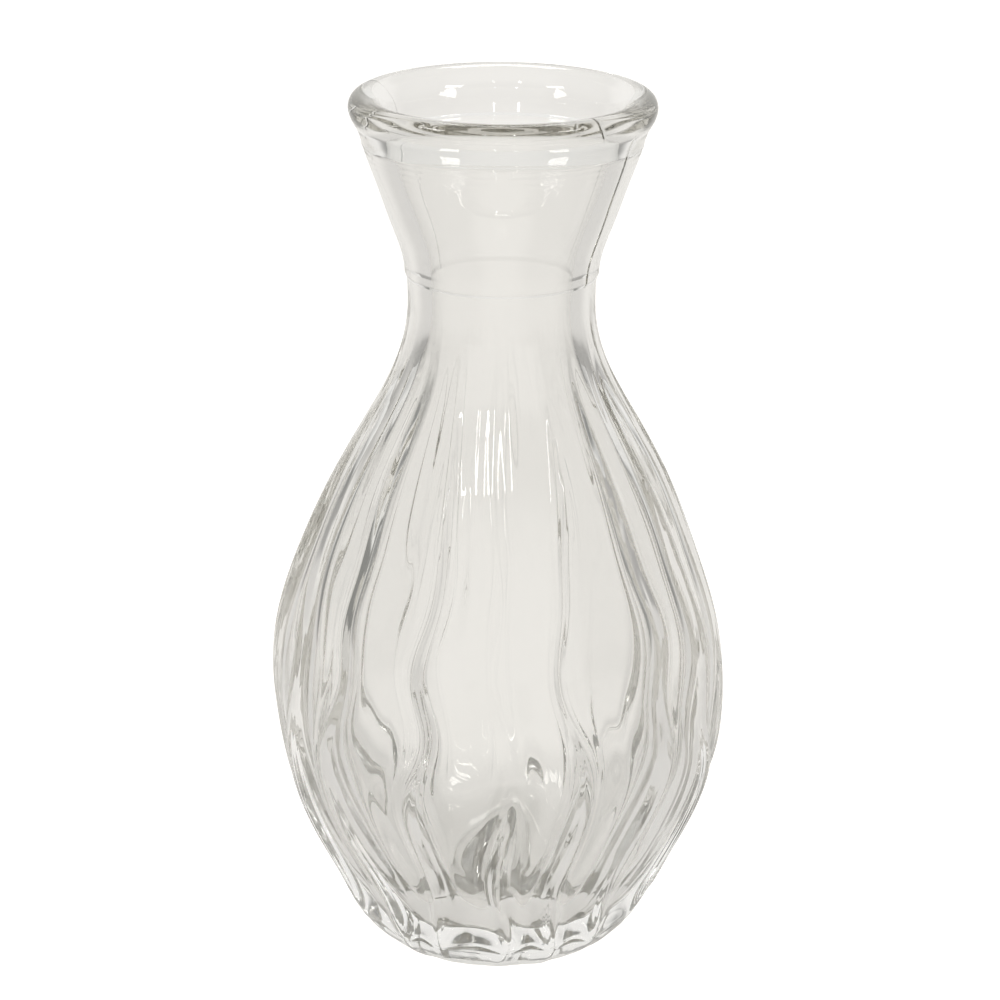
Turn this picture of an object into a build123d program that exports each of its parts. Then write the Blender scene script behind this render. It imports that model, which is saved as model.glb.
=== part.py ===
"""Glass bud vase, 125 mm tall: a flared collar on a narrow neck over a fluted, pear-shaped body.

The real vase is one piece of moulded glass. It is modelled here as its eight working regions, each a
separate solid, which meet face to face where the mould's own parts met or where the wall changes its job:

    rim_bead          rounded, thickened lip around the mouth
    flared_collar     smooth conical wall that spreads the stems
    neck_band         short band between the neck-ring parting line and the collar
    fluted_shoulder   throat and shoulder, where the ridges begin
    fluted_belly      widest part of the reservoir, with the ridges at full relief
    fluted_heel       lower wall, thickening and curving in to the base
    base_floor        thick glass around the bowl at the bottom of the reservoir
    foot              part that the mould's bottom plate formed, with a push-up and a flat bearing ring

Units are millimetres. The vase stands on Z = 0, its axis is +Z, and -Y is the front.
"""

import os
from math import cos, pi, sin

from build123d import *

# ---------------------------------------------------------------- driving dimensions
height = 125.0
lip_radius = 21.6  # widest circle of the lip, on the outside
lip_height = 123.2  # height of that circle
crest_radius = 19.85  # top of the bead
mouth_radius = 15.7  # narrowest circle of the bead, on the inside
mouth_height = 120.0  # height of that circle

collar_foot_radius = 14.1  # outside, where the cone lands on the neck band
collar_foot_height = 102.0
seam_height = 98.9  # horizontal parting line under the neck band
seam_step = 0.18  # how far the band stands proud of the neck below it

neck_radius = 13.25
throat_radius = 9.8
throat_bottom = 92.0
throat_top = 100.0
collar_wall = 4.0  # measured level, between the cone's outside and inside
bead_bottom = 118.0

shoulder_bottom = 66.0
belly_bottom = 22.0
heel_bottom = 12.0
bowl_bottom = 6.6  # lowest level of the reservoir, which ends in a round bowl
bowl_flat_radius = 4.0
foot_height = 4.8  # parting line of the mould's bottom plate

bearing_inner_radius = 11.0  # edge of the push-up
push_up_depth = 1.6

ridge_count = 16  # the first ridge is at the front, and they run on towards +X
ridge_relief = 1.5  # crest above flute at the belly
short_ridges = (0, 7, 11)  # these fade out above the heel and leave one wide flute
short_ridge_top = 34.0
outline_share = 0.8  # share of the relief that lies inside the outline radius

# Outside of the fluted body: height and the radius that touches its ridges.
body_outline = [
    (0.0, 14.6),
    (2.0, 17.8),
    (foot_height, 20.4),
    (11.0, 23.8),
    (19.0, 28.0),
    (28.0, 31.2),
    (38.0, 32.4),
    (50.0, 31.1),
    (60.0, 27.9),
    (70.0, 23.8),
    (80.0, 18.4),
    (88.0, 14.5),
    (94.0, neck_radius),
    (seam_height, neck_radius + 0.1),
]

# Inside of the reservoir, outwards from the flat middle of its bowl: radius and height.
reservoir_outline = [
    (bowl_flat_radius, bowl_bottom),
    (9.0, 7.5),
    (14.5, 11.6),
    (19.6, 19.0),
    (24.2, 27.6),
    (27.3, 36.5),
    (27.9, 45.0),
    (24.4, 58.0),
    (18.8, 71.0),
    (12.2, 83.5),
    (throat_radius, throat_bottom),
]


def relief_at(z):
    """Ridge height above the flutes: nothing in the neck, full on the belly, less at the foot."""
    from_neck = min(1.0, max(0.0, (94.0 - z) / 40.0))
    from_foot = 0.45 + 0.55 * min(1.0, z / 14.0)
    return ridge_relief * from_neck * from_neck * (3 - 2 * from_neck) * from_foot


def ridge_wander(i, z):
    """Sideways drift of ridge i at height z, as a share of the ridge pitch."""
    t = z / height
    return 0.10 * sin(2 * pi * 1.15 * t + 2.4 * i) + 0.06 * sin(2 * pi * 2.6 * t + 4.1 * i)


def ridge_strength(i, z):
    """How tall ridge i is at height z, against the others."""
    strength = 1.0 + 0.25 * sin(1.9 * i + 2 * pi * 1.4 * z / height)
    if i in short_ridges:
        fade = min(1.0, max(0.0, (short_ridge_top - z) / 16.0))
        strength *= 0.15 + 0.85 * fade
    return strength


def fluted_section(z, radius):
    """Points of one level section: for each ridge its crest, its two flanks and the flute beside it."""
    points = []
    for i in range(ridge_count):
        here = i + ridge_wander(i, z)
        after = i + 1 + ridge_wander(i + 1 if i + 1 < ridge_count else 0, z)
        before = i - 1 + ridge_wander(i - 1 if i else ridge_count - 1, z)
        strength = ridge_strength(i, z)
        stations = [
            (here - 0.20 * (here - before), 0.30 * strength),
            (here, strength),
            (here + 0.20 * (after - here), 0.30 * strength),
            ((here + after) / 2, 0.0),
        ]
        for place, share in stations:
            angle = 2 * pi * place / ridge_count
            r = radius + relief_at(z) * (share - outline_share)
            points.append((r * sin(angle), -r * cos(angle)))
    return points


def collar_outside(z):
    """Outside radius of the conical collar at height z."""
    share = (z - collar_foot_height) / (lip_height - collar_foot_height)
    return collar_foot_radius + share * (lip_radius - collar_foot_radius)


def collar_inside(z):
    """Inside radius of the conical collar at height z."""
    return collar_outside(z) - collar_wall


def keep_between(bottom, top):
    """Cut the part being built down to the slab between two heights."""
    split(bisect_by=Plane.XY.offset(top), keep=Keep.BOTTOM)
    split(bisect_by=Plane.XY.offset(bottom), keep=Keep.TOP)


# ---------------------------------------------------------------- fluted body, before it is divided
with BuildPart() as body_blank:
    for z, radius in body_outline:
        with BuildSketch(Plane.XY.offset(z)):
            with BuildLine():
                Spline(*fluted_section(z, radius), periodic=True)
            make_face()
    loft()
    # Reservoir and throat
    with BuildSketch(Plane.XZ):
        with BuildLine():
            Spline(*reservoir_outline, tangents=[(1, 0), (0, 1)])
            Polyline(
                (throat_radius, throat_bottom),
                (throat_radius, height),
                (0, height),
                (0, bowl_bottom),
                (bowl_flat_radius, bowl_bottom),
            )
        make_face()
    revolve(axis=Axis.Z, mode=Mode.SUBTRACT)
    # Push-up under the floor, a shallow dome inside the bearing ring
    dome_radius = (bearing_inner_radius**2 + push_up_depth**2) / (2 * push_up_depth)
    with Locations((0, 0, push_up_depth - dome_radius)):
        Sphere(dome_radius, mode=Mode.SUBTRACT)

# ---------------------------------------------------------------- foot
with BuildPart() as foot:
    add(body_blank.part)
    keep_between(0, foot_height)
foot.part.label = "foot"

# ---------------------------------------------------------------- base floor
with BuildPart() as base_floor:
    add(body_blank.part)
    keep_between(foot_height, heel_bottom)
base_floor.part.label = "base_floor"

# ---------------------------------------------------------------- fluted heel
with BuildPart() as fluted_heel:
    add(body_blank.part)
    keep_between(heel_bottom, belly_bottom)
fluted_heel.part.label = "fluted_heel"

# ---------------------------------------------------------------- fluted belly
with BuildPart() as fluted_belly:
    add(body_blank.part)
    keep_between(belly_bottom, shoulder_bottom)
fluted_belly.part.label = "fluted_belly"

# ---------------------------------------------------------------- fluted shoulder and throat
with BuildPart() as fluted_shoulder:
    add(body_blank.part)
    keep_between(shoulder_bottom, seam_height)
fluted_shoulder.part.label = "fluted_shoulder"

# ---------------------------------------------------------------- neck band
with BuildPart() as neck_band:
    with BuildSketch(Plane.XZ):
        with BuildLine():
            Polyline(
                (collar_inside(collar_foot_height), collar_foot_height),
                (throat_radius, throat_top),
                (throat_radius, seam_height),
                (neck_radius + seam_step, seam_height),
                (neck_radius + seam_step + 0.25, seam_height + 0.5),
                (collar_foot_radius, collar_foot_height),
                (collar_inside(collar_foot_height), collar_foot_height),
            )
        make_face()
    revolve(axis=Axis.Z)
neck_band.part.label = "neck_band"

# ---------------------------------------------------------------- flared collar
with BuildPart() as flared_collar:
    with BuildSketch(Plane.XZ):
        with BuildLine():
            Polyline(
                (collar_inside(collar_foot_height), collar_foot_height),
                (collar_outside(collar_foot_height), collar_foot_height),
                (collar_outside(bead_bottom), bead_bottom),
                (collar_inside(bead_bottom), bead_bottom),
                close=True,
            )
        make_face()
    revolve(axis=Axis.Z)
flared_collar.part.label = "flared_collar"

# ---------------------------------------------------------------- rim bead
with BuildPart() as rim_bead:
    with BuildSketch(Plane.XZ):
        with BuildLine():
            Polyline(
                (collar_inside(bead_bottom), bead_bottom),
                (collar_outside(bead_bottom), bead_bottom),
                (lip_radius, lip_height),
            )
            Spline(
                (lip_radius, lip_height),
                (crest_radius, height),
                (mouth_radius, mouth_height),
                tangents=[(0.2, 1), (-1, 0), (0, -1)],
            )
            Line((mouth_radius, mouth_height), (collar_inside(bead_bottom), bead_bottom))
        make_face()
    revolve(axis=Axis.Z)
rim_bead.part.label = "rim_bead"

# ---------------------------------------------------------------- files
os.makedirs("parts", exist_ok=True)
regions = [
    rim_bead,
    flared_collar,
    neck_band,
    fluted_shoulder,
    fluted_belly,
    fluted_heel,
    base_floor,
    foot,
]
for region in regions:
    export_step(region.part, f"parts/{region.part.label}.step")
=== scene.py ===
"""Looks of the clear glass bud vase: one moulded wall, shaped finely enough to bend light as real glass does.

Each CAD node is replaced by a closed glass piece of the same region. The pieces meet face to face, and the
faces where they meet are left clear, so light passes from one to the next as it does inside one casting.
Shapes are worked out in millimetres, and make_piece() writes them in metres.
"""

from math import cos, pi, radians, sin

import bpy
import numpy as np
from mathutils import Matrix, Vector


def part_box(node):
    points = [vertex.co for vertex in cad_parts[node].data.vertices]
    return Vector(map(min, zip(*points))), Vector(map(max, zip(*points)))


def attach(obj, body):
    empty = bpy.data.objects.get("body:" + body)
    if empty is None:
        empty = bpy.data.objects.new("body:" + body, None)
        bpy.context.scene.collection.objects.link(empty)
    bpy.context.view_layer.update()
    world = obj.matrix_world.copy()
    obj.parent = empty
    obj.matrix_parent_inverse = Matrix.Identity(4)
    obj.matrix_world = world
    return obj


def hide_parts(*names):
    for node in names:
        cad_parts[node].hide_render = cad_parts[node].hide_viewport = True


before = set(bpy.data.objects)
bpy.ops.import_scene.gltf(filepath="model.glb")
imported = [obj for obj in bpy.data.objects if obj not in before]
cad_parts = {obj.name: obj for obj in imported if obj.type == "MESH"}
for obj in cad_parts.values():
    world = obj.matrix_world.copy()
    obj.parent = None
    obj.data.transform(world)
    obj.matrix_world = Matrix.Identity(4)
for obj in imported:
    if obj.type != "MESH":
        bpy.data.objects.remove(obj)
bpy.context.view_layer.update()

MM = 0.001
RIDGES = 16
COLUMNS_PER_RIDGE = 60  # points round one level section, for each ridge
ROW_STEP = 0.62  # between rows of the outside, on the fluted body
INSIDE_STEP = 1.7  # between rows of the inside

# ---------------------------------------------------------------- dimensions, mm
NODES = [
    "foot",
    "base_floor",
    "fluted_heel",
    "fluted_belly",
    "fluted_shoulder",
    "neck_band",
    "flared_collar",
    "rim_bead",
]


def node_span(node):
    """Lowest and highest level of a CAD node."""
    low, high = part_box(node)
    return round(low.z / MM, 2), round(high.z / MM, 2)


SPAN = {node: node_span(node) for node in NODES}
HEIGHT = SPAN["rim_bead"][1]
SEAM_HEIGHT = SPAN["neck_band"][0]
HEEL_BOTTOM = SPAN["fluted_heel"][0]
FOOT_HEIGHT = SPAN["foot"][1]
BEARING_INNER_RADIUS = 11.0
PUSH_UP_DEPTH = 1.6

RIDGE_RELIEF = 1.5
SHORT_RIDGES = (0, 7, 11)  # these fade above the heel and leave one wide flute
SHORT_RIDGE_TOP = 34.0
OUTLINE_SHARE = 0.8  # share of the relief that lies inside the outline radius
TUCK = 0.25  # draws the lumpy wall in, to keep it inside the box of the CAD part
STEP_RISE = 0.30  # ridge height between one carved step and the next
STEP_DEPTH = 0.011

# Outside, as radius and height: the radius touches the ridges.
OUTSIDE = [
    (14.6, 0.0),
    (17.8, 2.0),
    (20.4, FOOT_HEIGHT),
    (23.8, 11.0),
    (28.0, 19.0),
    (31.2, 28.0),
    (32.4, 38.0),
    (31.1, 50.0),
    (27.9, 60.0),
    (23.8, 70.0),
    (18.4, 80.0),
    (14.5, 88.0),
    (13.25, 94.0),
    (13.35, SEAM_HEIGHT),
]
# Neck band and cone
COLLAR_OUTSIDE = [
    (13.41, SEAM_HEIGHT),
    (13.62, SEAM_HEIGHT + 0.25),
    (13.75, SEAM_HEIGHT + 0.9),
    (14.1, 102.0),
    (15.9, 107.1),
    (17.7, 112.2),
    (19.76, 118.0),
    (20.10, 119.2),
]
# Over the lip, from the cone outside to the cone inside
BEAD = [
    (19.76, 118.0),
    (20.10, 119.2),
    (20.55, 120.3),
    (21.32, 121.8),
    (21.60, 123.2),
    (21.05, 124.45),
    (19.85, HEIGHT - 0.02),
    (18.40, 124.6),
    (16.92, 123.4),
    (16.04, 121.95),
    (15.77, 120.7),
    (15.68, 119.4),
    (15.76, 118.0),
]
# From the middle of the bowl up to the bead
INSIDE = [
    (0.0, 6.6),
    (4.0, 6.65),
    (9.0, 7.5),
    (14.5, 11.6),
    (19.6, 19.0),
    (24.2, 27.6),
    (27.3, 36.5),
    (27.9, 45.0),
    (24.4, 58.0),
    (18.8, 71.0),
    (12.2, 83.5),
    (9.8, 92.0),
    (9.8, 98.0),
    (10.2, 102.0),
    (11.9, 107.1),
    (13.7, 112.2),
    (15.76, 118.0),
    (16.12, 119.0),
]

SEAM_ANGLES = (60.0, -120.0)  # the two halves of the mould part here, in degrees from the front towards +X


def curve_through(points, samples=1500):
    """A natural cubic spline through (radius, height) points, spaced by chord length."""
    p = np.array(points, float)
    t = np.concatenate([[0.0], np.cumsum(np.linalg.norm(np.diff(p, axis=0), axis=1))])
    h = np.diff(t)
    n = len(p)
    system = np.eye(n)
    target = np.zeros((n, 2))
    for i in range(1, n - 1):
        system[i, i - 1 : i + 2] = h[i - 1], 2 * (h[i - 1] + h[i]), h[i]
        target[i] = 6 * ((p[i + 1] - p[i]) / h[i] - (p[i] - p[i - 1]) / h[i - 1])
    bend = np.linalg.solve(system, target)
    s = np.linspace(0, t[-1], samples)
    k = np.clip(np.searchsorted(t, s, side="right") - 1, 0, n - 2)
    a = ((t[k + 1] - s) / h[k])[:, None]
    b = 1 - a
    span = (h[k] ** 2)[:, None] / 6
    return a * p[k] + b * p[k + 1] + ((a**3 - a) * bend[k] + (b**3 - b) * bend[k + 1]) * span


OUTSIDE_CURVE = curve_through(OUTSIDE)
COLLAR_CURVE = curve_through(COLLAR_OUTSIDE)
INSIDE_CURVE = curve_through(INSIDE)
BEAD_CURVE = curve_through(BEAD)

# ---------------------------------------------------------------- mesh columns, which follow the ridges
CROWDED = np.interp(
    np.arange(COLUMNS_PER_RIDGE) / COLUMNS_PER_RIDGE,
    [0, 0.3, 0.7, 1],
    [0, 0.2, 0.8, 1],
)
# Place of each column, counted in ridges from the front towards +X, with more columns near the ridges
PLACE = (np.arange(RIDGES)[:, None] + CROWDED[None, :]).ravel()
COLUMNS = len(PLACE)
RIDGE = np.floor(PLACE).astype(int)
NEXT_RIDGE = (RIDGE + 1) % RIDGES
PAST = PLACE - RIDGE  # how far past its ridge a column is, in pitches


def smoothstep(x):
    """0 below 0, 1 above 1, and a soft rise between."""
    x = np.clip(x, 0.0, 1.0)
    return x * x * (3 - 2 * x)


def ridge_wander(z):
    """Sideways drift of every ridge at heights z, as a share of the pitch: one row for each height."""
    t = z[:, None] / HEIGHT
    i = np.arange(RIDGES)[None, :]
    drift = 0.10 * np.sin(2 * pi * 1.15 * t + 2.4 * i) + 0.06 * np.sin(2 * pi * 2.6 * t + 4.1 * i)
    weave = np.sin(2 * pi * 4.4 * t + pi / 4 * i + 0.9 * np.sin(2 * pi * 1.7 * t + i))
    drift += 0.13 * smoothstep((72.0 - z[:, None]) / 40.0) * weave
    return drift * smoothstep((96.0 - z[:, None]) / 12.0)


def column_angle(z):
    """Angle of every column at heights z, from the front towards +X."""
    drift = ridge_wander(z)
    share = smoothstep(PAST)
    place = PLACE + (1 - share) * drift[:, RIDGE] + share * drift[:, NEXT_RIDGE]
    return place * 2 * pi / RIDGES


# ---------------------------------------------------------------- shape of the wall
def relief_at(z):
    """Ridge height above the flutes: nothing in the neck, full on the belly, less at the foot."""
    return RIDGE_RELIEF * smoothstep((94.0 - z) / 40.0) * (0.15 + 0.85 * smoothstep((z - 3.0) / 7.0))


def ridge_strength(z):
    """How tall every ridge is at heights z, against the others."""
    i = np.arange(RIDGES)[None, :]
    strength = 1 + 0.25 * np.sin(1.9 * i + 2 * pi * 1.4 * z[:, None] / HEIGHT)
    fade = np.clip((SHORT_RIDGE_TOP - z) / 16.0, 0, 1)
    for short in SHORT_RIDGES:
        strength[:, short] *= 0.35 + 0.65 * fade
    return strength


def rib(distance):
    """Height of a ridge at a distance from its crest, in pitches."""
    return 0.4 * np.exp(-((distance / 0.12) ** 2)) + 0.6 * np.exp(-((distance / 0.27) ** 2))


def ridges_share(z):
    """Height of the ridges as a share of the relief."""
    strength = ridge_strength(z)
    return strength[:, RIDGE] * rib(PAST) + strength[:, NEXT_RIDGE] * rib(1 - PAST)


def waves(z, count, turns, climb, seed):
    """Smooth noise that runs mainly up the wall: sums waves with turns (low, high) round the vase."""
    rng = np.random.default_rng(seed)
    total = np.zeros((len(z), COLUMNS))
    for _ in range(count):
        turn = rng.integers(turns[0], turns[1] + 1)
        start = rng.uniform(0, 2 * pi)
        total += np.cos(2 * pi * turn * PLACE / RIDGES + rng.uniform(-climb, climb) * z[:, None] + start)
    return total / np.sqrt(count / 2)


def carved_steps(rise):
    """Fine steps that follow levels of the ridge height, as a carved mould leaves them."""
    near_ridge = np.exp(-((np.minimum(PAST, 1 - PAST) / 0.24) ** 2))
    phase = 2 * pi * rise / STEP_RISE
    return STEP_DEPTH * (0.03 + 0.97 * near_ridge) * np.sin(phase + 0.5 * np.sin(phase))


def flute_lumps(z):
    """Slow swells in the flutes, longer than wide, and fine drawn lines, strongest on the shoulder."""
    lower = smoothstep((70.0 - z[:, None]) / 45.0)
    swell = waves(z, 10, (8, 22), 0.16, 21) * (0.03 + 0.03 * lower)
    on_shoulder = np.exp(-(((z[:, None] - 77.0) / 9.0) ** 2))
    streak = waves(z, 14, (36, 70), 0.05, 8) * (0.008 + 0.017 * on_shoulder)
    return swell + streak


def plate_line(z):
    """The bottom plate's parting line, a fine groove that rises in the flutes."""
    in_flute = 0.5 - 0.5 * np.cos(2 * pi * PLACE)
    line = FOOT_HEIGHT - 0.5 + in_flute
    return -0.08 * np.exp(-(((z[:, None] - line) / 0.35) ** 2))


def body_outside(z):
    """Outside radius of the fluted body, one row for each height."""
    relief = relief_at(z)[:, None]
    texture = smoothstep((95.0 - z) / 14.0)[:, None]
    outline = np.interp(z, OUTSIDE_CURVE[:, 1], OUTSIDE_CURVE[:, 0])[:, None]
    rise = relief * ridges_share(z) + texture * flute_lumps(z)
    marks = texture * (carved_steps(rise) - TUCK) + plate_line(z)
    return outline + rise + marks - relief * OUTLINE_SHARE


def mould_seams():
    """Raised line, 0.12 mm high, where the two mould halves met."""
    total = np.zeros(COLUMNS)
    for angle in SEAM_ANGLES:
        away = (PLACE * 2 * pi / RIDGES - radians(angle) + pi) % (2 * pi) - pi
        total += 0.12 * np.exp(-((away * 18.0 / 0.25) ** 2))
    return total[None, :]


def collar_outside(z):
    """Outside radius of the neck band and the cone, with turning marks just under the lip."""
    outline = np.interp(z, COLLAR_CURVE[:, 1], COLLAR_CURVE[:, 0])[:, None]
    turning = 0.02 * np.exp(-(((z[:, None] - 118.0) / 2.2) ** 2)) * np.sin(2 * pi * z[:, None] / 0.95)
    return outline + turning + mould_seams() - 0.06


def inside(z):
    """Inside radius. The blown wall follows the ridges softly."""
    outline = np.interp(z, INSIDE_CURVE[:, 1], INSIDE_CURVE[:, 0])[:, None]
    soft = 0.16 * relief_at(z)[:, None] * np.cos(2 * pi * PLACE)
    swell = waves(z, 8, (6, 22), 0.16, 40)
    fade = smoothstep((z - HEEL_BOTTOM) / 8.0)[:, None] * smoothstep((98.0 - z) / 20.0)[:, None]
    return outline + fade * (soft + 0.03 * swell)


# ---------------------------------------------------------------- meshes
GLASS, CLEAR = 0, 1  # places of the two materials on every piece


def ring(radius, z, angle=None):
    """Points of rows: radius has one row for each height z."""
    z = np.asarray(z, float)
    if angle is None:
        angle = column_angle(z)
    height = np.broadcast_to(z[:, None], radius.shape)
    return np.stack([radius * np.sin(angle), -radius * np.cos(angle), height], -1)


def edge_normals(shape, level, outward):
    """True normals of the wall round one level."""
    z = np.array([level])
    step = 0.02
    here = ring(shape(z), z)
    up = ring(shape(z + step), z + step) - ring(shape(z - step), z - step)
    along = np.roll(here, -1, axis=1) - np.roll(here, 1, axis=1)
    normal = outward * np.cross(along, up)[0]
    return normal / np.linalg.norm(normal, axis=-1, keepdims=True)


def wall(shape, z, outward=1):
    """Rows of a wall whose radius at heights z is shape(z), with normals for its first and last row."""
    points = ring(shape(z), z)
    normals = np.zeros_like(points)
    normals[0] = edge_normals(shape, z[0], outward)
    normals[-1] = edge_normals(shape, z[-1], outward)
    return points, normals


def levels(start, end, step):
    """Heights from start to end, about a step apart."""
    return np.linspace(start, end, max(2, round(abs(end - start) / step) + 1))


def make_piece(name, walls, start=None, end=None):
    """A closed mesh from walls, each (points, normals), in order round the section.

    Each wall is joined to the next by a clear face. A fan of the material named by start or end closes the
    first or the last row on the axis. With neither, a clear face joins the last row to the first.
    """
    points = np.concatenate([w[0] for w in walls])
    normals = np.concatenate([w[1] for w in walls]).reshape(-1, 3)
    ends = np.cumsum([len(w[0]) for w in walls]) - 1
    rows = len(points)
    vertices = points.reshape(-1, 3)
    column = np.arange(COLUMNS)
    beside = (column + 1) % COLUMNS
    faces = []
    kinds = []
    for row in range(rows if start is None and end is None else rows - 1):
        here, above = row * COLUMNS, (row + 1) % rows * COLUMNS
        faces += np.stack([here + column, here + beside, above + beside, above + column], axis=-1).tolist()
        kinds += [CLEAR if row in ends else GLASS] * COLUMNS
    for kind, row, turned in ((start, 0, True), (end, rows - 1, False)):
        if kind is None:
            continue
        hub = len(vertices)
        vertices = np.concatenate([vertices, points[row].mean(axis=0)[None, :]])
        normals = np.concatenate([normals, np.zeros((1, 3))])
        a, b = row * COLUMNS + column, row * COLUMNS + beside
        if turned:
            a, b = b, a
        faces += np.stack([a, b, np.full(COLUMNS, hub)], axis=-1).tolist()
        kinds += [kind] * COLUMNS
    mesh = bpy.data.meshes.new(name)
    mesh.from_pydata((vertices * MM).tolist(), [], faces)
    mesh.polygons.foreach_set("material_index", kinds)
    mesh.polygons.foreach_set("use_smooth", [kind == GLASS for kind in kinds])
    set_edge_normals(mesh, normals, kinds)
    piece = bpy.data.objects.new(name, mesh)
    bpy.context.scene.collection.objects.link(piece)
    return piece


def set_edge_normals(mesh, normals, kinds):
    """Where a piece meets the next one, both take the wall's own normals, so no line shows between them."""
    corner = np.zeros(len(mesh.loops), int)
    mesh.loops.foreach_get("vertex_index", corner)
    sides = np.zeros(len(mesh.polygons), int)
    mesh.polygons.foreach_get("loop_total", sides)
    on_wall = np.repeat(np.array(kinds) == GLASS, sides)
    mesh.normals_split_custom_set((normals[corner] * on_wall[:, None]).tolist())


def make_wall_piece(node, outside_shape, outside_step, inside_step):
    """A length of the wall between two levels."""
    low, high = SPAN[node]
    outer = wall(outside_shape, levels(low, high, outside_step))
    inner = wall(inside, levels(high, low, inside_step), outward=-1)
    return make_piece(node + "_glass", [outer, inner])


def make_foot():
    """Push-up, bearing ring and the outside up to the parting line of the bottom plate."""
    high = FOOT_HEIGHT
    angle = column_angle(np.zeros(1))
    edge = body_outside(np.zeros(1)) - 0.35
    share = np.linspace(0.04, 1.0, 16)[:, None]
    around = np.ones((1, COLUMNS))
    dome = ring(share * BEARING_INNER_RADIUS * around, PUSH_UP_DEPTH * (1 - share[:, 0] ** 2), angle)
    out = np.linspace(0.0, 1.0, 7)[1:, None]
    inner_edge = BEARING_INNER_RADIUS + 0.5
    bearing = ring(inner_edge + out * (edge - inner_edge), np.zeros(len(out)), angle)
    outer = wall(body_outside, np.concatenate([[0.12, 0.35], levels(0.6, high, 0.2)]))
    points = np.concatenate([dome, bearing, outer[0]])
    normals = np.zeros_like(points)
    normals[-1] = outer[1][-1]
    return make_piece("foot_glass", [(points, normals)], start=GLASS, end=CLEAR)


def make_base_floor():
    """The glass round the bowl at the bottom of the reservoir."""
    low, high = SPAN["base_floor"]
    outer = wall(body_outside, np.concatenate([levels(low, 6.4, 0.2)[:-1], levels(6.4, high, 0.4)]))
    in_bowl = INSIDE_CURVE[INSIDE_CURVE[:, 1] < high + 1.0]
    edge = np.interp(high, INSIDE_CURVE[:, 1], INSIDE_CURVE[:, 0])
    radius = np.linspace(edge, 0.5, 26)
    height = np.interp(radius, in_bowl[:, 0], in_bowl[:, 1])
    bowl = ring(radius[:, None] * np.ones((1, COLUMNS)), height, column_angle(np.array([high])))
    normals = np.zeros_like(bowl)
    normals[0] = edge_normals(inside, high, -1)
    return make_piece("base_floor_glass", [outer, (bowl, normals)], start=CLEAR, end=GLASS)


def make_rim_bead():
    """The lip, as one run of rows from the cone outside, over the crest, to the cone inside."""
    length = np.concatenate([[0.0], np.cumsum(np.linalg.norm(np.diff(BEAD_CURVE, axis=0), axis=1))])
    stops = np.linspace(0, length[-1], 80)
    radius = np.interp(stops, length, BEAD_CURVE[:, 0])
    z = np.interp(stops, length, BEAD_CURVE[:, 1])
    on_cone = smoothstep((122.0 - z) / 2.0) * (radius > 19)
    points = ring(radius[:, None] + on_cone[:, None] * (mould_seams() - 0.06), z)
    normals = np.zeros_like(points)
    normals[0] = edge_normals(collar_outside, z[0], 1)
    normals[-1] = edge_normals(inside, z[-1], -1)
    return make_piece("rim_bead_glass", [(points, normals)])


# ---------------------------------------------------------------- materials
def new_material(name):
    material = bpy.data.materials.new(name)
    material.use_nodes = True
    nodes = material.node_tree.nodes
    nodes.clear()
    return material, nodes, material.node_tree.links


def clear_glass():
    """Soda-lime glass, faintly warm grey, fire-polished with a slight ripple."""
    material, nodes, links = new_material("clear_glass")
    output = nodes.new("ShaderNodeOutputMaterial")
    glass = nodes.new("ShaderNodeBsdfGlass")
    glass.inputs["IOR"].default_value = 1.5
    # A stronger tint low in the foot stands in for the light that the thick base takes
    height = nodes.new("ShaderNodeSeparateXYZ")
    clarity = nodes.new("ShaderNodeMapRange")
    clarity.inputs["From Min"].default_value = 0.001
    clarity.inputs["From Max"].default_value = 0.005
    tint = nodes.new("ShaderNodeMix")
    tint.data_type = "RGBA"
    tint.inputs["A"].default_value = (0.865, 0.863, 0.852, 1)
    tint.inputs["B"].default_value = (0.962, 0.960, 0.953, 1)
    where = nodes.new("ShaderNodeTexCoord")
    stretch = nodes.new("ShaderNodeMapping")
    stretch.inputs["Scale"].default_value = (1, 1, 0.25)
    haze = nodes.new("ShaderNodeTexNoise")
    haze.inputs["Scale"].default_value = 90
    haze.inputs["Detail"].default_value = 3
    rough = nodes.new("ShaderNodeMapRange")
    rough.inputs["To Min"].default_value = 0.0
    rough.inputs["To Max"].default_value = 0.006
    ripple = nodes.new("ShaderNodeTexNoise")
    ripple.inputs["Scale"].default_value = 260
    bump = nodes.new("ShaderNodeBump")
    bump.inputs["Distance"].default_value = 0.00003
    bump.inputs["Strength"].default_value = 0.05
    links.new(where.outputs["Object"], height.inputs[0])
    links.new(height.outputs["Z"], clarity.inputs["Value"])
    links.new(clarity.outputs["Result"], tint.inputs["Factor"])
    links.new(tint.outputs["Result"], glass.inputs["Color"])
    links.new(where.outputs["Object"], stretch.inputs["Vector"])
    links.new(stretch.outputs["Vector"], haze.inputs["Vector"])
    links.new(stretch.outputs["Vector"], ripple.inputs["Vector"])
    links.new(haze.outputs["Fac"], rough.inputs["Value"])
    links.new(rough.outputs["Result"], glass.inputs["Roughness"])
    links.new(ripple.outputs["Fac"], bump.inputs["Height"])
    links.new(bump.outputs["Normal"], glass.inputs["Normal"])
    # Lamps reach the floor through the wall, dimmed a little
    path = nodes.new("ShaderNodeLightPath")
    passed = nodes.new("ShaderNodeBsdfTransparent")
    passed.inputs["Color"].default_value = (0.93, 0.93, 0.92, 1)
    mix = nodes.new("ShaderNodeMixShader")
    links.new(path.outputs["Is Shadow Ray"], mix.inputs["Fac"])
    links.new(glass.outputs["BSDF"], mix.inputs[1])
    links.new(passed.outputs["BSDF"], mix.inputs[2])
    links.new(mix.outputs["Shader"], output.inputs["Surface"])
    return material


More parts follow.
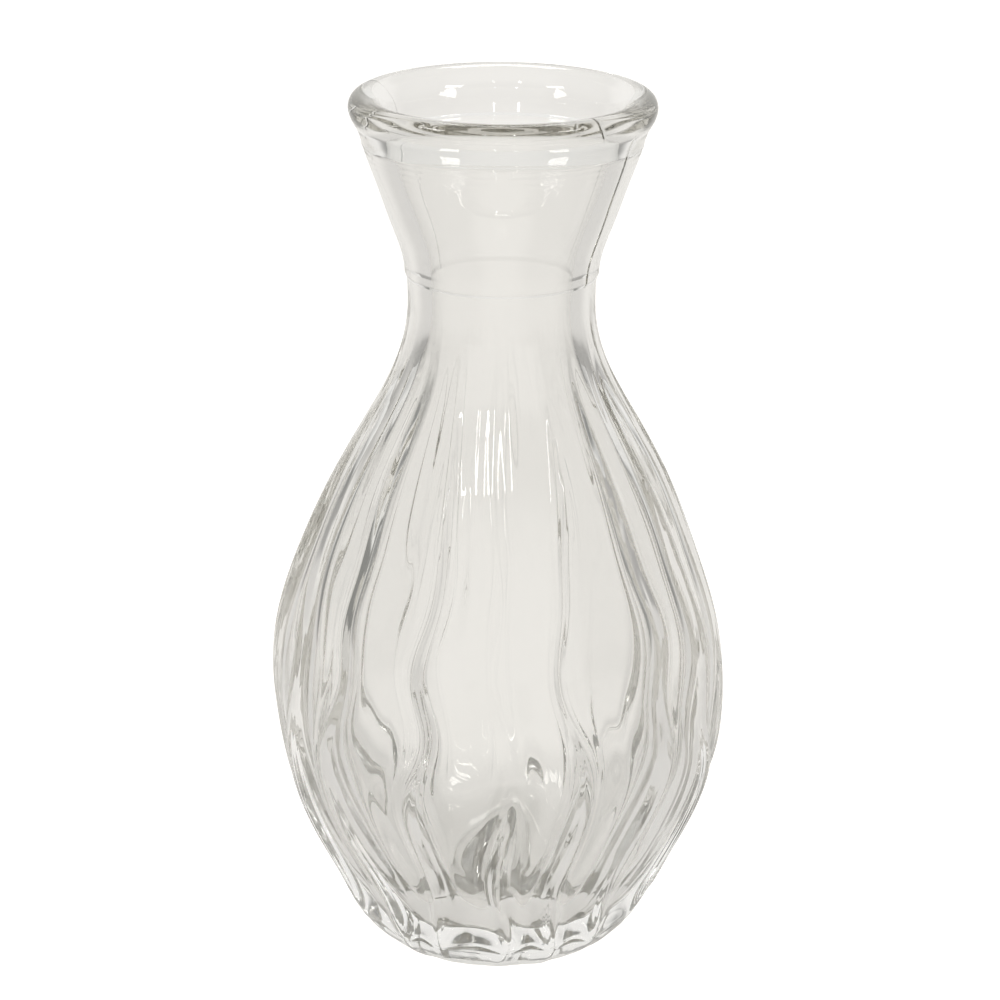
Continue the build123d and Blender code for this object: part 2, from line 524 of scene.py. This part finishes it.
def meeting_face():
    """Where two regions of the same casting meet there is no surface, so light passes straight on."""
    material, nodes, links = new_material("meeting_face")
    output = nodes.new("ShaderNodeOutputMaterial")
    passed = nodes.new("ShaderNodeBsdfTransparent")
    links.new(passed.outputs["BSDF"], output.inputs["Surface"])
    return material


# ---------------------------------------------------------------- the vase
glass = clear_glass()
meeting = meeting_face()
pieces = {
    "foot": make_foot(),
    "base_floor": make_base_floor(),
    "fluted_heel": make_wall_piece("fluted_heel", body_outside, 0.5, 0.5),
    "fluted_belly": make_wall_piece("fluted_belly", body_outside, ROW_STEP, INSIDE_STEP),
    "fluted_shoulder": make_wall_piece("fluted_shoulder", body_outside, ROW_STEP, INSIDE_STEP),
    "neck_band": make_wall_piece("neck_band", collar_outside, 0.3, 0.5),
    "flared_collar": make_wall_piece("flared_collar", collar_outside, 0.25, 1.0),
    "rim_bead": make_rim_bead(),
}
for node, piece in pieces.items():
    piece.data.materials.append(glass)
    piece.data.materials.append(meeting)
    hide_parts(node)
    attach(piece, "root")


# ---------------------------------------------------------------- floor, light and camera
def make_floor():
    """Plain white to the camera. To the glass its glow carries painted shade: dimmer at the sides, more so
    far off there, and a painted contact shadow, a little dimmer, close to the vase.
    """
    size = 3.0
    mesh = bpy.data.meshes.new("floor")
    corners = [(-size, -size, 0), (size, -size, 0), (size, size, 0), (-size, size, 0)]
    mesh.from_pydata(corners, [], [(0, 1, 2, 3)])
    floor = bpy.data.objects.new("floor", mesh)
    bpy.context.scene.collection.objects.link(floor)
    floor.location.z = -0.0001  # just clear of the bearing ring
    material, nodes, links = new_material("pale_floor")
    output = nodes.new("ShaderNodeOutputMaterial")
    matt = nodes.new("ShaderNodeBsdfDiffuse")
    matt.inputs["Color"].default_value = (0.25, 0.25, 0.25, 1)
    glow = nodes.new("ShaderNodeEmission")
    glow.inputs["Color"].default_value = (1.0, 0.98, 0.95, 1)
    both = nodes.new("ShaderNodeAddShader")
    place = nodes.new("ShaderNodeTexCoord")
    distance = nodes.new("ShaderNodeVectorMath")
    distance.operation = "LENGTH"
    # Painted shade: at the sides the floor glows dimmer still with distance from the vase
    fade = nodes.new("ShaderNodeMapRange")
    fade.interpolation_type = "SMOOTHSTEP"
    fade.inputs["From Min"].default_value = 0.40
    fade.inputs["From Max"].default_value = 0.75
    fade.inputs["To Min"].default_value = 0.60
    fade.inputs["To Max"].default_value = 0.32
    path = nodes.new("ShaderNodeLightPath")
    strength = nodes.new("ShaderNodeMix")
    strength.inputs["B"].default_value = 1.05
    links.new(place.outputs["Object"], distance.inputs[0])
    links.new(distance.outputs["Value"], fade.inputs["Value"])
    links.new(path.outputs["Is Camera Ray"], strength.inputs["Factor"])
    parts = nodes.new("ShaderNodeSeparateXYZ")
    across = nodes.new("ShaderNodeMath")
    across.operation = "DIVIDE"
    square = nodes.new("ShaderNodeMath")
    square.operation = "POWER"
    square.inputs[1].default_value = 2
    # Painted shade: to the glass, the floor glows dimmer towards the sides, standing in for a darker studio
    # there
    side = nodes.new("ShaderNodeMapRange")
    side.interpolation_type = "SMOOTHSTEP"
    side.inputs["From Min"].default_value = 0.05
    side.inputs["From Max"].default_value = 0.45
    # Painted contact shadow: to the glass, the floor glows dimmer within a few centimetres of the vase
    painted_contact_shadow = nodes.new("ShaderNodeMapRange")
    painted_contact_shadow.interpolation_type = "SMOOTHSTEP"
    painted_contact_shadow.inputs["From Min"].default_value = 0.014
    painted_contact_shadow.inputs["From Max"].default_value = 0.06
    painted_contact_shadow.inputs["To Min"].default_value = 0.66
    painted_contact_shadow.inputs["To Max"].default_value = 0.82
    # Painted light and shade on the floor glow that only the glass sees; the camera sees a plain 1.05
    painted_floor_shade = nodes.new("ShaderNodeMix")
    links.new(place.outputs["Object"], parts.inputs[0])
    links.new(parts.outputs["X"], across.inputs[0])
    links.new(distance.outputs["Value"], across.inputs[1])
    links.new(across.outputs[0], square.inputs[0])
    links.new(square.outputs[0], side.inputs["Value"])
    links.new(distance.outputs["Value"], painted_contact_shadow.inputs["Value"])
    links.new(side.outputs["Result"], painted_floor_shade.inputs["Factor"])
    links.new(painted_contact_shadow.outputs["Result"], painted_floor_shade.inputs["A"])
    links.new(fade.outputs["Result"], painted_floor_shade.inputs["B"])
    links.new(painted_floor_shade.outputs["Result"], strength.inputs["A"])
    links.new(strength.outputs["Result"], glow.inputs["Strength"])
    links.new(matt.outputs["BSDF"], both.inputs[0])
    links.new(glow.outputs["Emission"], both.inputs[1])
    links.new(both.outputs["Shader"], output.inputs["Surface"])
    mesh.materials.append(material)


def toward(azimuth, elevation, distance):
    """A point seen from the vase at that azimuth (0 is -Y, positive towards +X) and elevation, in degrees."""
    a, e = radians(azimuth), radians(elevation)
    return Vector((sin(a) * cos(e), -cos(a) * cos(e), sin(e))) * distance


def look_at(thing, target, roll=0.0):
    direction = target - thing.location
    turn = direction.to_track_quat("-Z", "Y").to_matrix().to_4x4()
    thing.matrix_world = Matrix.Translation(thing.location) @ turn @ Matrix.Rotation(radians(roll), 4, "Z")


AIM = Vector((0, 0, 0.0657))  # what the camera and the lamps point at
SCREENS = 2  # one in front and one behind
SCREEN_TOP = (28.0, 38.0)  # elevation where the screens begin to fade and where they end, in degrees
CAMERA_ELEVATION = 17.35
CAMERA_DISTANCE = 0.7
CAMERA_ROLL = 0.44
FOCAL_LENGTH = 176.9
MOST_BOUNCES = 40  # light guided inside the wall meets its surfaces many times
LIGHTS = [
    # name, azimuth, elevation, distance, width, height, watts
    ("window_left", -15, 40, 0.9, 0.03, 0.08, 0.14),
    ("window_right", 9, 40, 0.9, 0.025, 0.08, 0.11),
    ("softbox_left", -62, 46, 0.9, 0.24, 0.10, 0.65),
    ("softbox_right", 58, 46, 0.9, 0.24, 0.10, 0.65),
    ("softbox_back", 180, 60, 0.9, 0.3, 0.2, 0.8),
]


def make_lamp(name, azimuth, elevation, distance, width, height, watts):
    lamp = bpy.data.lights.new(name, "AREA")
    lamp.shape = "RECTANGLE"
    lamp.size = width
    lamp.size_y = height
    lamp.energy = watts
    lamp_object = bpy.data.objects.new(name, lamp)
    bpy.context.scene.collection.objects.link(lamp_object)
    lamp_object.location = toward(azimuth, elevation, distance)
    look_at(lamp_object, AIM)


def make_world():
    """Plain white to the camera. To the glass, pale screens stand in front and behind, in a darker room."""
    world = bpy.data.worlds.new("studio")
    bpy.context.scene.world = world
    world.use_nodes = True
    nodes, links = world.node_tree.nodes, world.node_tree.links
    nodes.clear()
    output = nodes.new("ShaderNodeOutputWorld")
    seen = nodes.new("ShaderNodeBackground")
    seen.inputs["Color"].default_value = (1, 1, 1, 1)
    room = nodes.new("ShaderNodeBackground")
    place = nodes.new("ShaderNodeTexCoord")
    parts = nodes.new("ShaderNodeSeparateXYZ")
    azimuth = nodes.new("ShaderNodeMath")
    azimuth.operation = "ARCTAN2"
    turns = nodes.new("ShaderNodeMath")
    turns.operation = "MULTIPLY"
    turns.inputs[1].default_value = SCREENS
    wave = nodes.new("ShaderNodeMath")
    wave.operation = "COSINE"
    edge = nodes.new("ShaderNodeMapRange")
    edge.interpolation_type = "SMOOTHSTEP"
    edge.inputs["From Min"].default_value = -0.35
    edge.inputs["From Max"].default_value = 0.25
    top = nodes.new("ShaderNodeMapRange")
    top.interpolation_type = "SMOOTHSTEP"
    top.inputs["From Min"].default_value = sin(radians(SCREEN_TOP[0]))
    top.inputs["From Max"].default_value = sin(radians(SCREEN_TOP[1]))
    top.inputs["To Min"].default_value = 1.0
    top.inputs["To Max"].default_value = 0.0
    both = nodes.new("ShaderNodeMath")
    both.operation = "MULTIPLY"
    colour = nodes.new("ShaderNodeMix")
    colour.data_type = "RGBA"
    colour.inputs["A"].default_value = (0.29, 0.292, 0.284, 1)
    colour.inputs["B"].default_value = (0.95, 0.945, 0.93, 1)
    path = nodes.new("ShaderNodeLightPath")
    mix = nodes.new("ShaderNodeMixShader")
    links.new(place.outputs["Generated"], parts.inputs[0])
    links.new(parts.outputs["X"], azimuth.inputs[0])
    links.new(parts.outputs["Y"], azimuth.inputs[1])
    links.new(azimuth.outputs[0], turns.inputs[0])
    links.new(turns.outputs[0], wave.inputs[0])
    links.new(wave.outputs[0], edge.inputs["Value"])
    links.new(parts.outputs["Z"], top.inputs["Value"])
    links.new(edge.outputs["Result"], both.inputs[0])
    links.new(top.outputs["Result"], both.inputs[1])
    links.new(both.outputs[0], colour.inputs["Factor"])
    links.new(colour.outputs["Result"], room.inputs["Color"])
    links.new(path.outputs["Is Camera Ray"], mix.inputs["Fac"])
    links.new(room.outputs["Background"], mix.inputs[1])
    links.new(seen.outputs["Background"], mix.inputs[2])
    links.new(mix.outputs["Shader"], output.inputs["Surface"])


for light in LIGHTS:
    make_lamp(*light)
make_floor()
make_world()

camera_data = bpy.data.cameras.new("camera")
camera_data.lens = FOCAL_LENGTH
camera_data.sensor_width = 36
camera = bpy.data.objects.new("camera", camera_data)
bpy.context.scene.collection.objects.link(camera)
camera.location = AIM + toward(0, CAMERA_ELEVATION, CAMERA_DISTANCE)
look_at(camera, AIM, roll=CAMERA_ROLL)
bpy.context.scene.camera = camera
bpy.context.scene.view_settings.view_transform = "Standard"
cycles = bpy.context.scene.cycles
cycles.max_bounces = MOST_BOUNCES
cycles.transmission_bounces = MOST_BOUNCES
cycles.glossy_bounces = MOST_BOUNCES
cycles.transparent_max_bounces = 48
